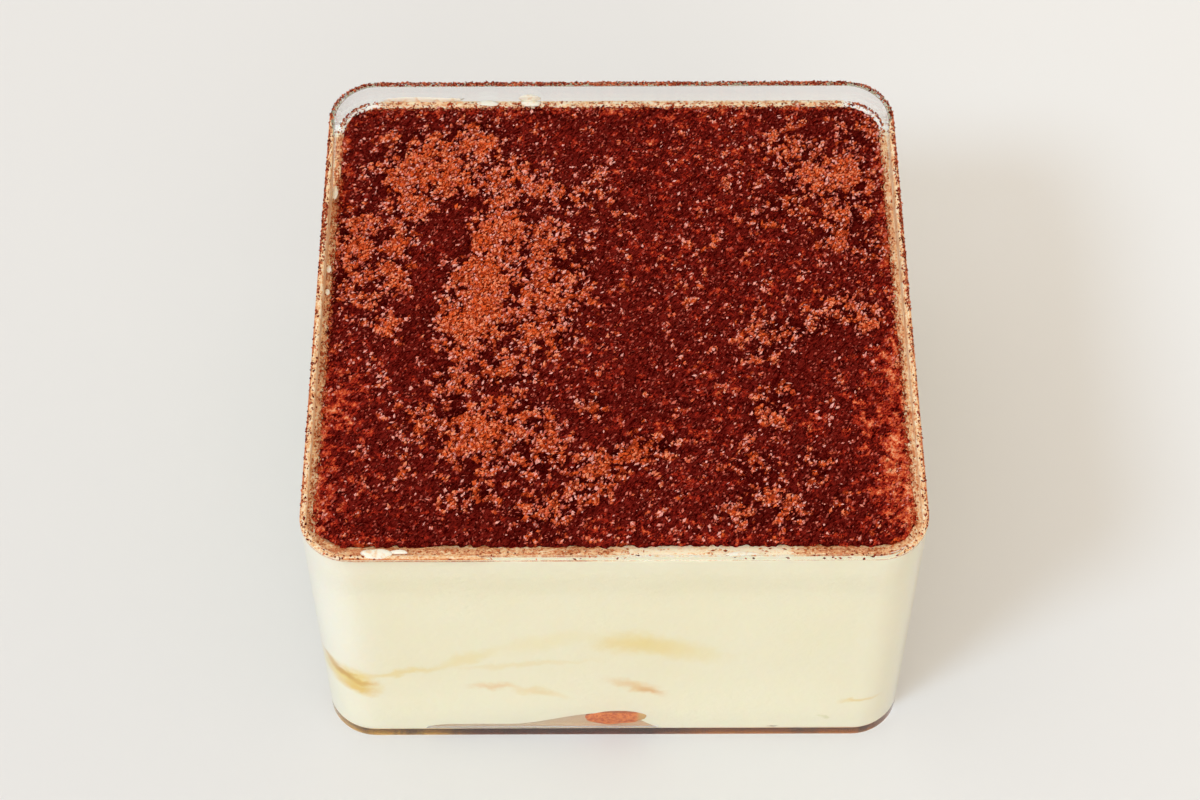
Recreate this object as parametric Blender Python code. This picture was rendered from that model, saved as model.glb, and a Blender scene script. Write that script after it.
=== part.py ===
"""A tiramisu portion in its clear square box: a soaked sponge layer on the base, a second one at
mid height, mascarpone cream round both, and a dusting of cocoa on top. The box stands on its flat
base, with the middle of the base at the origin and its front at -Y. Lengths are in metres."""

import math

import bmesh
import bpy
from mathutils import Vector

MM = 0.001

# The box
BOX_SIDE = 105 * MM
BOX_HEIGHT = 62 * MM
CORNER_RADIUS = 8.9 * MM
RIM_WALL = 1.05 * MM  # above the ledge that a lid would sit on
LOWER_WALL = 1.9 * MM  # below it
LEDGE_DEPTH = 4.4 * MM  # from the rim down to that ledge
BASE_THICKNESS = 1.0 * MM
FOOT_ROUND = 0.7 * MM
FLOOR_ROUND = 1.2 * MM
RIM_ROUND = 0.25 * MM
CORNER_STEPS = 10
ROUND_STEPS = 4
RIM_STEPS = 2

# The cream and the cocoa
GAP = 0.3 * MM  # between pieces that touch
FRONT_LEVEL = 0.9 * MM  # the cocoa's depth below the rim at the front wall
BACK_LEVEL = 4.7 * MM  # and at the back wall
LEVEL_POWER = 1.4  # over 1, the surface falls soon behind the front and then flattens
UNEVEN = 0.1 * MM  # how far the levelled surface strays from that slope
COCOA_THICKNESS = 0.5 * MM
COCOA_MARGIN = 0.35 * MM  # cream left bare round the cocoa
COLLAR_END = -12 * MM  # forward of this the cream also covers the ledge
SURFACE_CELLS = 16

# The sponge layers
SPONGE_CUTS = 9
SPONGE_INSET = 3.2 * MM  # from the cream's outer face in to a layer's edge
SPONGE_ROUND = 2.4 * MM
SPONGE_THINNING = 0.12  # of the thickness, lost at a layer's edge
LOWER_HALF = 3.4 * MM  # half a layer's thickness
LOWER_MIDDLE = BASE_THICKNESS + GAP + LOWER_HALF
UPPER_HALF = 4.2 * MM
UPPER_MIDDLE = 20.3 * MM
UPPER_ARCH = 8 * MM  # the upper layer is highest a little right of the middle
UPPER_CREST = 6 * MM
UPPER_WAVE = 1.2 * MM
UPPER_WAVE_LENGTH = 12 * MM
EDGE_REACH = -35 * MM  # a layer comes out to the wall only in front of this
EDGE_SOFT = 8 * MM

# The air pocket under the cream, at the foot of the front wall
POCKET_X = -11 * MM
POCKET_HALF = Vector((21, 5, 3.8)) * MM

HALF = BOX_SIDE / 2
FILL_HALF = HALF - LOWER_WALL - GAP
FILL_RADIUS = CORNER_RADIUS - LOWER_WALL - GAP
LEDGE_HEIGHT = BOX_HEIGHT - LEDGE_DEPTH
TOOL_REACH = 3 * MM  # how far a cutter runs past what it cuts


def clear_scene():
    for obj in list(bpy.data.objects):
        bpy.data.objects.remove(obj)


def new_collection(name, hidden=False):
    collection = bpy.data.collections.new(name)
    bpy.context.scene.collection.children.link(collection)
    collection.hide_render = hidden
    return collection


def material(name, colour, roughness, transmission=0.0):
    made = bpy.data.materials.new(name)
    made.use_nodes = True
    shader = made.node_tree.nodes["Principled BSDF"]
    shader.inputs["Base Color"].default_value = (*colour, 1)
    shader.inputs["Roughness"].default_value = roughness
    shader.inputs["Metallic"].default_value = 0.0
    shader.inputs["Transmission Weight"].default_value = transmission
    return made


def make_object(bm, name, collection):
    mesh = bpy.data.meshes.new(name)
    bmesh.ops.recalc_face_normals(bm, faces=bm.faces)
    bm.to_mesh(mesh)
    bm.free()
    obj = bpy.data.objects.new(name, mesh)
    collection.objects.link(obj)
    return obj


def make_part(bm, name, collection, surface):
    obj = make_object(bm, name, collection)
    obj.data.materials.append(surface)
    obj.data.shade_smooth()
    obj.data.set_sharp_from_angle(angle=math.radians(35))
    return obj


def make_tool(bm, name, collection):
    obj = make_object(bm, name, collection)
    obj.hide_render = True
    obj.display_type = "WIRE"
    return obj


def combine(obj, tool, operation):
    modifier = obj.modifiers.new(tool.name, "BOOLEAN")
    modifier.operation = operation
    modifier.solver = "EXACT"
    modifier.object = tool


def bevel(bm, edges, width, segments):
    bmesh.ops.bevel(
        bm, geom=edges, offset=width, offset_type="OFFSET", segments=segments,
        profile=0.5, affect="EDGES", material=-1,
    )


def rounded_prism(half, radius, low, high):
    """A square prism with its upright edges rounded."""
    bm = bmesh.new()
    bmesh.ops.create_cube(bm, size=1)
    bmesh.ops.scale(bm, vec=(2 * half, 2 * half, high - low), verts=bm.verts)
    bmesh.ops.translate(bm, vec=(0, 0, (low + high) / 2), verts=bm.verts)
    upright = [e for e in bm.edges if abs(e.verts[0].co.z - e.verts[1].co.z) > MM]
    bevel(bm, upright, radius, CORNER_STEPS)
    return bm


def outline_at(bm, height, half):
    """The loop of edges that runs round at this height, this far from the middle."""
    close = 0.01 * MM
    inner, outer = half - CORNER_RADIUS, half + close

    def on_outline(vert):
        reach = max(abs(vert.co.x), abs(vert.co.y))
        return abs(vert.co.z - height) < close and inner < reach < outer

    return [e for e in bm.edges if all(on_outline(v) for v in e.verts)]


def sink(bm, face, wall, depth):
    """Insets a level face by the wall and pushes what is inside it down. Returns that inner face."""
    bmesh.ops.inset_region(bm, faces=[face], thickness=wall, use_even_offset=True)
    pushed = bmesh.ops.extrude_face_region(bm, geom=[face])["geom"]
    bmesh.ops.delete(bm, geom=[face], context="FACES_ONLY")
    verts = [g for g in pushed if isinstance(g, bmesh.types.BMVert)]
    bmesh.ops.translate(bm, vec=(0, 0, -depth), verts=verts)
    return next(g for g in pushed if isinstance(g, bmesh.types.BMFace))


def make_box(collection):
    """The tub: its wall steps in at the ledge, and its rim, foot and floor have rounded edges."""
    bm = rounded_prism(HALF, CORNER_RADIUS, 0, BOX_HEIGHT)
    bevel(bm, outline_at(bm, 0, HALF), FOOT_ROUND, ROUND_STEPS)
    top = max(bm.faces, key=lambda f: f.calc_center_median().z)
    ledge = sink(bm, top, RIM_WALL, LEDGE_DEPTH)
    sink(bm, ledge, LOWER_WALL - RIM_WALL, LEDGE_HEIGHT - BASE_THICKNESS)
    bevel(bm, outline_at(bm, BASE_THICKNESS, HALF - LOWER_WALL), FLOOR_ROUND, ROUND_STEPS)
    bevel(bm, outline_at(bm, BOX_HEIGHT, HALF), RIM_ROUND, RIM_STEPS)
    plastic = material("clear_plastic", (0.93, 0.93, 0.92), 0.08, transmission=0.9)
    make_part(bm, "box", collection, plastic)


def level(x, y):
    """Height of the cocoa's top: highest at the front wall, where the cream was heaped."""
    back = min(max((y + HALF) / BOX_SIDE, 0), 1)
    depth = FRONT_LEVEL + (BACK_LEVEL - FRONT_LEVEL) * (1 - (1 - back) ** LEVEL_POWER)
    ripple = math.sin(x / (9 * MM) + 1) * math.cos(y / (13 * MM))
    swell = math.sin(y / (7 * MM) + x / (17 * MM))
    return BOX_HEIGHT - depth + UNEVEN * (ripple + swell) / 2


def surface_slab(below, above):
    """A slab that follows the levelled surface, from this far below it to this far above it."""
    bm = bmesh.new()
    bmesh.ops.create_grid(
        bm, x_segments=SURFACE_CELLS, y_segments=SURFACE_CELLS, size=HALF + TOOL_REACH
    )
    for vert in bm.verts:
        vert.co.z = level(vert.co.x, vert.co.y) - below
    raised = bmesh.ops.extrude_face_region(bm, geom=bm.faces[:])["geom"]
    verts = [g for g in raised if isinstance(g, bmesh.types.BMVert)]
    bmesh.ops.translate(bm, vec=(0, 0, below + above), verts=verts)
    return bm


def window(value, start, end):
    """1 between start and end, falling smoothly to 0 on each side."""
    outside = max(start - value, value - end, 0) / EDGE_SOFT
    return 0.5 + 0.5 * math.cos(math.pi * min(outside, 1))


def lower_shows(x, y):
    """1 where the lower layer's edge comes out to the wall: one finger's end, in front."""
    return window(y, -HALF, EDGE_REACH) * window(x, -2 * MM, 5 * MM)


def upper_shows(x, y):
    """The upper layer comes out at the front left corner and right of the middle."""
    corner, middle = window(x, -HALF, -42 * MM), window(x, 0, 20 * MM)
    return window(y, -HALF, EDGE_REACH) * max(corner, middle)


def lower_rise(x, y):
    """The lower layer lies flat on the base."""
    return 0


def upper_rise(x, y):
    """The upper layer arches over from side to side."""
    across = min(abs(x - UPPER_CREST) / HALF, 1)
    arch = UPPER_ARCH * math.cos(across * math.pi / 2)
    return arch + UPPER_WAVE * math.sin(y / UPPER_WAVE_LENGTH)


def sponge_layer(middle, half, shows, rise, grow=0):
    """A gridded block drawn out to a rounded square with a round edge. grow makes it that much
    larger all round, for the room it takes in the cream."""
    bm = bmesh.new()
    bmesh.ops.create_cube(bm, size=2)
    bmesh.ops.subdivide_edges(bm, edges=bm.edges[:], cuts=SPONGE_CUTS, use_grid_fill=True)
    for vert in bm.verts:
        u, v, w = vert.co
        ring = max(abs(u), abs(v))
        reach = FILL_HALF - SPONGE_INSET - SPONGE_ROUND * w * w
        point = Vector((math.sin(u * math.pi / 2), math.sin(v * math.pi / 2))) * reach
        core = reach - CORNER_RADIUS
        over = Vector((max(abs(point.x) - core, 0), max(abs(point.y) - core, 0)))
        if over.x and over.y:
            rounded = over * max(over) / over.length
            point.x = math.copysign(core + rounded.x, point.x)
            point.y = math.copysign(core + rounded.y, point.y)
        outward = Vector((math.copysign(over.x, point.x), math.copysign(over.y, point.y)))
        if outward.length:
            outward.normalize()
        point += outward * (shows(point.x, point.y) * SPONGE_INSET * ring**8 + grow)
        thickness = (half + grow) * (1 - SPONGE_THINNING * ring**10)
        vert.co = (point.x, point.y, middle + rise(point.x, point.y) + w * thickness)
    bmesh.ops.triangulate(bm, faces=bm.faces, quad_method="FIXED")
    return bm


def upper_layer(grow=0):
    return sponge_layer(UPPER_MIDDLE, UPPER_HALF, upper_shows, upper_rise, grow)


def lower_layer(grow=0):
    return sponge_layer(LOWER_MIDDLE, LOWER_HALF, lower_shows, lower_rise, grow)


def collar():
    """The cream over the ledge, in the front half of the box."""
    half = HALF - RIM_WALL - GAP
    bm = rounded_prism(half, CORNER_RADIUS - RIM_WALL - GAP, LEDGE_HEIGHT + GAP, BOX_HEIGHT)
    bmesh.ops.bisect_plane(
        bm, geom=bm.verts[:] + bm.edges[:] + bm.faces[:], plane_co=(0, COLLAR_END, 0),
        plane_no=(0, 1, 0), clear_outer=True,
    )
    bmesh.ops.holes_fill(bm, edges=[e for e in bm.edges if e.is_boundary])
    return bm


def air_pocket():
    bm = bmesh.new()
    bmesh.ops.create_uvsphere(bm, u_segments=24, v_segments=12, radius=1)
    bmesh.ops.scale(bm, vec=POCKET_HALF, verts=bm.verts)
    bmesh.ops.translate(bm, vec=(POCKET_X, -FILL_HALF, BASE_THICKNESS), verts=bm.verts)
    return bm


def make_cream(collection, tools):
    """Cream up to the levelled surface, with room for both sponge layers and the air pocket."""
    bottom = BASE_THICKNESS + GAP
    bm = rounded_prism(FILL_HALF, FILL_RADIUS, bottom, BOX_HEIGHT)
    bevel(bm, outline_at(bm, bottom, FILL_HALF), FLOOR_ROUND - GAP, ROUND_STEPS)
    whipped = material("cream", (0.86, 0.79, 0.58), 0.45)
    cream = make_part(bm, "cream", collection, whipped)
    combine(cream, make_tool(collar(), "collar", tools), "UNION")
    above = surface_slab(GAP + COCOA_THICKNESS, LEDGE_DEPTH + TOOL_REACH)
    combine(cream, make_tool(above, "levelling", tools), "DIFFERENCE")
    combine(cream, make_tool(upper_layer(GAP), "upper_room", tools), "DIFFERENCE")
    combine(cream, make_tool(lower_layer(GAP), "lower_room", tools), "DIFFERENCE")
    combine(cream, make_tool(air_pocket(), "pocket", tools), "DIFFERENCE")


def make_cocoa(collection, tools):
    """A thin dusting that follows the levelled surface and stops short of the wall."""
    half, radius = FILL_HALF - COCOA_MARGIN, FILL_RADIUS - COCOA_MARGIN
    bm = rounded_prism(half, radius, LEDGE_HEIGHT - TOOL_REACH, BOX_HEIGHT)
    powder = material("cocoa_powder", (0.16, 0.022, 0.012), 0.9)
    cocoa = make_part(bm, "cocoa", collection, powder)
    dusting = make_tool(surface_slab(COCOA_THICKNESS, 0), "dusting", tools)
    combine(cocoa, dusting, "INTERSECT")


def main():
    clear_scene()
    parts = new_collection("tiramisu_portion")
    tools = new_collection("cutters", hidden=True)
    sponge = material("soaked_sponge", (0.62, 0.27, 0.08), 0.7)
    make_box(parts)
    make_part(lower_layer(), "sponge_lower", parts, sponge)
    make_part(upper_layer(), "sponge_upper", parts, sponge)
    make_cream(parts, tools)
    make_cocoa(parts, tools)


main()
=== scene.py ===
# %% [markdown]
# # A tiramisu portion in its clear tub
# The dessert fills a square tub of clear plastic: cream with two layers of soaked sponge in it, and
# a bed of cocoa on top that is damp in some places and dry and crumbly in others. The solids of the
# dessert come in as a fixed frame, and the tub, the cream, the sponge layers and the cocoa bed below
# each take the place of one of them.

# %% The frame
import math

import bmesh
import bpy
import numpy as np
from mathutils import Matrix, Vector, noise


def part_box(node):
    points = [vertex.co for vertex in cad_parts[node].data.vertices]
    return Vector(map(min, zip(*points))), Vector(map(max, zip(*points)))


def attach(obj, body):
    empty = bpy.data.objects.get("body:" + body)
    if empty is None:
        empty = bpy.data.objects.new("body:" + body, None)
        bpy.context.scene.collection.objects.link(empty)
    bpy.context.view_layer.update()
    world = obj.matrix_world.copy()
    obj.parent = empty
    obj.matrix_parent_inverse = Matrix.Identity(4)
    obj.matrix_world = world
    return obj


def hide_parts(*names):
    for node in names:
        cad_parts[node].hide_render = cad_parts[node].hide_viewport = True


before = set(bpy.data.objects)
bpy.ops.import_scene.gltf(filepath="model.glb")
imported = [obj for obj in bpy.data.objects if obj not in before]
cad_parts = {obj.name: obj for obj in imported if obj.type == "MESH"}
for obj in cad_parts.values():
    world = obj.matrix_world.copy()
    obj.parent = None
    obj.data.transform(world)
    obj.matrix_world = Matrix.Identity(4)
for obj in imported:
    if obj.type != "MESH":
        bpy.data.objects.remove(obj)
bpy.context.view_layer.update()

print("nodes:", ", ".join(sorted(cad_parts)))

# %% [markdown]
# ## Sizes
# Everything is placed from the tub. Its outer sizes are read from the frame, and its wall, ledge and
# base repeat the solid's. The cream was heaped at the front wall and falls away towards the back, so
# the height of the surface is a function that every topping can ask.

# %% The tub's sizes and the dessert's surface
MM = 0.001
tub_low, tub_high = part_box("box")
HALF, RIM_HEIGHT = tub_high[0], tub_high[2]
CORNER_RADIUS = 8.9 * MM
RIM_WALL, LOWER_WALL = 1.05 * MM, 1.9 * MM
LEDGE_HEIGHT = RIM_HEIGHT - 4.4 * MM
BASE_THICKNESS = 1.0 * MM
FRONT_LEVEL, BACK_LEVEL, LEVEL_POWER = 0.9 * MM, 4.7 * MM, 1.4


def surface(x, y):
    """Height of the cocoa's top over this place."""
    back = min(max((y + HALF) / (2 * HALF), 0), 1)
    depth = FRONT_LEVEL + (BACK_LEVEL - FRONT_LEVEL) * (1 - (1 - back) ** LEVEL_POWER)
    ripple = math.sin(x / (9 * MM) + 1) * math.cos(y / (13 * MM))
    swell = math.sin(y / (7 * MM) + x / (17 * MM))
    return RIM_HEIGHT - depth + 0.05 * MM * (ripple + swell)


print(f"surface: {1000 * surface(0, -HALF):.1f} mm high in front, {1000 * surface(0, HALF):.1f} behind")

# %% [markdown]
# ## Camera and light
# The camera looks down at the front wall with a long lens. One large lamp stands to the left and in
# front, so that a soft shadow falls to the right, and the bright surroundings do the rest. The lamp
# can't be seen through clear plastic: that keeps its light from being counted twice.

# %% The camera
LOOK_DOWN = math.radians(55.14)
camera_data = bpy.data.cameras.new("camera")
camera_data.lens, camera_data.sensor_width = 77.63, 36
camera = bpy.data.objects.new("camera", camera_data)
bpy.context.scene.collection.objects.link(camera)
camera.location = (-0.00232, -0.27455, 0.42687)
tilt = Matrix.Rotation(math.pi / 2 - LOOK_DOWN, 3, "X") @ Matrix.Rotation(math.radians(-0.18), 3, "Z")
camera.rotation_euler = tilt.to_euler()
bpy.context.scene.camera = camera
print("camera:", [round(c, 3) for c in camera.location])

# %% The light
bpy.context.scene.view_settings.view_transform = "Standard"


def lamp(name, place, size, power, colour):
    data = bpy.data.lights.new(name, "AREA")
    data.shape, data.size, data.energy, data.color = "DISK", size, power, colour
    obj = bpy.data.objects.new(name, data)
    bpy.context.scene.collection.objects.link(obj)
    obj.location = place
    obj.rotation_euler = (-Vector(place)).to_track_quat("-Z", "Y").to_euler()
    obj.visible_transmission = False
    obj.visible_camera = False
    return obj


lamp("key", Vector((-0.566, -0.43, 0.70)) * 2.4, 0.60, 20, (0.62, 0.80, 1.0))
lamp("front_fill", Vector((0.15, -0.9, 0.30)) * 2.4, 1.6, 10, (1.0, 0.955, 0.89))
world = bpy.data.worlds.new("studio")
world.use_nodes = True
world.node_tree.nodes["Background"].inputs["Color"].default_value = (1.0, 0.905, 0.785, 1)
world.node_tree.nodes["Background"].inputs["Strength"].default_value = 0.85
world.cycles.sampling_method = "NONE"
bpy.context.scene.world = world

# %% [markdown]
# ## Finishes
# A finish is a small tree of nodes. These helpers add one node, or a mask that is 1 in one range of
# a value and 0 outside it, so that each finish below reads as a short recipe.

# %% Helpers for finishes


def tint(red, green, blue):
    """A colour in the light's own scale, from the usual 0 to 255."""
    def linear(value):
        value /= 255
        return value / 12.92 if value <= 0.04045 else ((value + 0.055) / 1.055) ** 2.4
    return (linear(red), linear(green), linear(blue), 1)


def node(tree, kind, inputs=(), **settings):
    """A node of this kind. inputs holds pairs of a socket and its value, or what feeds it."""
    made = tree.nodes.new(kind)
    for key, value in settings.items():
        setattr(made, key, value)
    for key, value in inputs:
        if isinstance(value, bpy.types.NodeSocket):
            tree.links.new(value, made.inputs[key])
        else:
            made.inputs[key].default_value = value
    return made


def new_finish(name, roughness, **sockets):
    """A material with its shader. Values that are the same all over sit on the shader itself."""
    material = bpy.data.materials.new(name)
    material.use_nodes = True
    shader = material.node_tree.nodes["Principled BSDF"]
    shader.inputs["Roughness"].default_value = roughness
    for key, value in sockets.items():
        shader.inputs[key.replace("_", " ")].default_value = value
    return material, material.node_tree, shader


def place_of(tree):
    return node(tree, "ShaderNodeTexCoord").outputs["Object"]


def speckle(tree, size, detail=2.0, roughness=0.5, offset=0.0, kind="Fac", at=None):
    """Noise whose blotches are about this wide."""
    moved = node(tree, "ShaderNodeVectorMath", [(0, at or place_of(tree)), (1, (offset, offset, 0))])
    made = node(tree, "ShaderNodeTexNoise", [
        ("Vector", moved.outputs[0]), ("Scale", 1 / size), ("Detail", detail), ("Roughness", roughness),
    ])
    return made.outputs[kind]


def maths(tree, operation, *values):
    return node(tree, "ShaderNodeMath", list(enumerate(values)), operation=operation).outputs[0]


def ramp(tree, value, start, end, low=0.0, high=1.0):
    """Goes smoothly from low to high as the value goes from start to end."""
    made = node(tree, "ShaderNodeMapRange", [
        ("Value", value), ("From Min", start), ("From Max", end), ("To Min", low), ("To Max", high),
    ], interpolation_type="SMOOTHSTEP")
    return made.outputs["Result"]


def blend(tree, factor, below, above):
    """One colour over another."""
    made = node(tree, "ShaderNodeMix", [(0, factor), (6, below), (7, above)], data_type="RGBA")
    return made.outputs[2]


def bump(tree, shader, height, depth, below=None):
    made = node(tree, "ShaderNodeBump", [("Height", height), ("Distance", depth)])
    if below:
        tree.links.new(below, made.inputs["Normal"])
    tree.links.new(made.outputs[0], shader.inputs["Normal"])
    return made.outputs[0]


def attribute(tree, name):
    return node(tree, "ShaderNodeAttribute", attribute_name=name).outputs["Fac"]


# %% The floor
floor_bm = bmesh.new()
bmesh.ops.create_grid(floor_bm, x_segments=2, y_segments=2, size=2.5)
bmesh.ops.translate(floor_bm, vec=(0, 0, -0.05 * MM), verts=floor_bm.verts)
floor_mesh = bpy.data.meshes.new("floor")
floor_bm.to_mesh(floor_mesh)
floor_bm.free()
floor = bpy.data.objects.new("floor", floor_mesh)
bpy.context.scene.collection.objects.link(floor)
paper, paper_tree, paper_shader = new_finish("pale paper", 0.7)
paper_place = node(paper_tree, "ShaderNodeSeparateXYZ", [(0, place_of(paper_tree))])
# The paper is painted lighter towards the right and the back: a painted fall-off of light.
painted_light_falloff = ramp(paper_tree, maths(
    paper_tree, "ADD", paper_place.outputs[0], maths(paper_tree, "MULTIPLY", paper_place.outputs[1], 0.7)), -0.22, 0.26)
paper_colour = blend(paper_tree, painted_light_falloff, (0.755, 0.757, 0.762, 1), (0.865, 0.875, 0.885, 1))
paper_tree.links.new(
    blend(paper_tree, maths(paper_tree, "MULTIPLY", speckle(paper_tree, 0.25), 0.15), paper_colour, (0.9, 0.9, 0.9, 1)),
    paper_shader.inputs["Base Color"],
)
floor_mesh.materials.append(paper)

# %% Helpers for pieces


def new_piece(bm, name, finish, stands_for=None, sharp=35):
    """Makes the piece, rides it with the dessert and puts it in its solid's place."""
    mesh = bpy.data.meshes.new(name)
    bm.to_mesh(mesh)
    bm.free()
    mesh.materials.append(finish)
    mesh.shade_smooth()
    if sharp:
        mesh.set_sharp_from_angle(angle=math.radians(sharp))
    piece = bpy.data.objects.new(name, mesh)
    bpy.context.scene.collection.objects.link(piece)
    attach(piece, "root")
    if stands_for:
        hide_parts(stands_for)
    mesh.calc_loop_triangles()
    print(f"{name}: {len(mesh.loop_triangles)} triangles")
    return piece


def face_outwards(bm):
    """Turns all faces of a closed shape outwards, a hollow one too."""
    bmesh.ops.recalc_face_normals(bm, faces=bm.faces)
    if bm.calc_volume(signed=True) < 0:
        bmesh.ops.reverse_faces(bm, faces=bm.faces)
    bm.normal_update()


def bevel(bm, edges, width, segments):
    bmesh.ops.bevel(
        bm, geom=edges, offset=width, offset_type="OFFSET", segments=segments,
        profile=0.5, affect="EDGES", material=-1,
    )


def round_corner(x, y, half, radius):
    """Draws a place in a square's corner in, so that the square's outline gets this radius."""
    over_x, over_y = max(abs(x) - half + radius, 0), max(abs(y) - half + radius, 0)
    if not (over_x and over_y):
        return x, y
    draw = max(over_x, over_y) / math.hypot(over_x, over_y)
    return (
        math.copysign(abs(x) - over_x * (1 - draw), x),
        math.copysign(abs(y) - over_y * (1 - draw), y),
    )


def smooth(value, start, end):
    """0 up to start and 1 from end, with a smooth way between."""
    t = min(max((value - start) / (end - start), 0), 1)
    return t * t * (3 - 2 * t)


# %% [markdown]
# ## The clear tub
# The tub is moulded from clear plastic. Its wall is thicker below a small ledge, where a lid would
# rest, and its rim, foot and floor are rounded. A prism with rounded corners is inset and pushed
# down twice, once to the ledge and once to the floor, and then the loops of edges are bevelled.

# %% The tub's shape
close = 0.01 * MM
RIM_BEVEL = 0.25 * MM


def rounded_prism(half, radius, low, high, steps):
    bm = bmesh.new()
    bmesh.ops.create_cube(bm, size=1)
    bmesh.ops.scale(bm, vec=(2 * half, 2 * half, high - low), verts=bm.verts)
    bmesh.ops.translate(bm, vec=(0, 0, (low + high) / 2), verts=bm.verts)
    upright = [e for e in bm.edges if abs(e.verts[0].co.z - e.verts[1].co.z) > close]
    bevel(bm, upright, radius, steps)
    return bm


def outline_at(bm, height, half):
    """The loop of edges that runs round at this height, this far from the middle."""
    def on_outline(vert):
        reach = max(abs(vert.co.x), abs(vert.co.y))
        return abs(vert.co.z - height) < close and half - CORNER_RADIUS < reach < half + close
    return [e for e in bm.edges if all(on_outline(v) for v in e.verts)]


def sink(bm, face, wall, depth):
    """Insets a level face by the wall and pushes what is inside it down. Returns that inner face."""
    bmesh.ops.inset_region(bm, faces=[face], thickness=wall, use_even_offset=True)
    pushed = bmesh.ops.extrude_face_region(bm, geom=[face])["geom"]
    bmesh.ops.delete(bm, geom=[face], context="FACES_ONLY")
    verts = [g for g in pushed if isinstance(g, bmesh.types.BMVert)]
    bmesh.ops.translate(bm, vec=(0, 0, -depth), verts=verts)
    return next(g for g in pushed if isinstance(g, bmesh.types.BMFace))


tub_bm = rounded_prism(HALF, CORNER_RADIUS, 0, RIM_HEIGHT, 20)
bevel(tub_bm, outline_at(tub_bm, 0, HALF), 0.4 * MM, 4)
top_face = max(tub_bm.faces, key=lambda f: f.calc_center_median().z)
ledge_face = sink(tub_bm, top_face, RIM_WALL, RIM_HEIGHT - LEDGE_HEIGHT)
sink(tub_bm, ledge_face, LOWER_WALL - RIM_WALL, LEDGE_HEIGHT - BASE_THICKNESS)
bevel(tub_bm, outline_at(tub_bm, BASE_THICKNESS, HALF - LOWER_WALL), 1.2 * MM, 5)
bevel(tub_bm, outline_at(tub_bm, RIM_HEIGHT, HALF), RIM_BEVEL, 3)
bevel(tub_bm, outline_at(tub_bm, RIM_HEIGHT, HALF - RIM_WALL), RIM_BEVEL, 3)
bevel(tub_bm, outline_at(tub_bm, LEDGE_HEIGHT, HALF - LOWER_WALL), 0.2 * MM, 3)
face_outwards(tub_bm)

# %% The tub's plastic
plastic, plastic_tree, plastic_shader = new_finish(
    "clear tub plastic", 0.03, Transmission_Weight=1.0, IOR=1.49,
)
plastic_tree.links.new(
    blend(plastic_tree, speckle(plastic_tree, 6 * MM), (0.99, 0.99, 0.985, 1), (1.0, 1.0, 1.0, 1)),
    plastic_shader.inputs["Base Color"],
)
clear_tub = new_piece(tub_bm, "clear_tub", plastic, "box")
clear_tub.visible_shadow = False
even = clear_tub.modifiers.new("even shading", "WEIGHTED_NORMAL")
even.keep_sharp = True

# %% [markdown]
# ## The cream
# Whipped cream fills the tub up to the cocoa, and lies against the plastic with no air between, so
# its outside reaches a hair into the wall. It covers the ledge wherever the surface is above it. The
# piece starts as a grid with rounded corners, whose rim is drawn down step by step.

# %% The cream's shape
INTO_WALL = 0.12 * MM
LOWER_HALF, LOWER_RADIUS = HALF - LOWER_WALL + INTO_WALL, CORNER_RADIUS - LOWER_WALL + INTO_WALL
COLLAR_REACH = LOWER_WALL - RIM_WALL
CREAM_CELLS, CREAM_ROWS = 150, 40
UNDER_COCOA = 0.55 * MM
TAPER, TAPER_STEPS = 9 * MM, 9


def reach_of(x, y):
    """How far out a place is: half the side of the rounded square that runs through it."""
    middle = HALF - CORNER_RADIUS
    over = max(abs(x) - middle, 0), max(abs(y) - middle, 0)
    return middle + math.hypot(*over) if max(over) > 0 else max(abs(x), abs(y))


def cream_top(x, y):
    """The cream's height: just under the cocoa, up to its level at the wall, and a film on the ledge."""
    lumps = noise.noise(Vector((x, y, 0)) / (5 * MM)) + 0.5 * noise.noise(Vector((x, y, 3)) / (1.7 * MM))
    margin = smooth(reach_of(x, y), HALF - 3.4 * MM, HALF - 2.6 * MM)
    height = surface(x, y) - UNDER_COCOA * (1 - 0.8 * margin) + 0.10 * MM * lumps
    at_ledge = smooth(reach_of(x, y), LOWER_HALF - 0.9 * MM, LOWER_HALF)
    return max(height, LEDGE_HEIGHT + 0.12 * MM + 0.05 * MM * lumps - 2 * MM * (1 - at_ledge))


def widen(vert, amount):
    """Moves a vertex at the outline outwards."""
    x, y = vert.co.xy
    out = Vector((
        math.copysign(max(abs(x) - LOWER_HALF + LOWER_RADIUS, 0), x),
        math.copysign(max(abs(y) - LOWER_HALF + LOWER_RADIUS, 0), y),
    ))
    vert.co.xy += out.normalized() * amount


cream_bm = bmesh.new()
bmesh.ops.create_grid(cream_bm, x_segments=CREAM_CELLS, y_segments=CREAM_CELLS, size=LOWER_HALF)
for vert in cream_bm.verts:
    x, y = round_corner(vert.co.x, vert.co.y, LOWER_HALF, LOWER_RADIUS)
    vert.co = (x, y, cream_top(x, y))


def draw_down(bm, edges):
    """Extrudes a loop of edges and returns the new loop and its vertices."""
    made = bmesh.ops.extrude_edge_only(bm, edges=edges)["geom"]
    verts = [g for g in made if isinstance(g, bmesh.types.BMVert)]
    return [g for g in made if isinstance(g, bmesh.types.BMEdge) and g.is_boundary], verts


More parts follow.
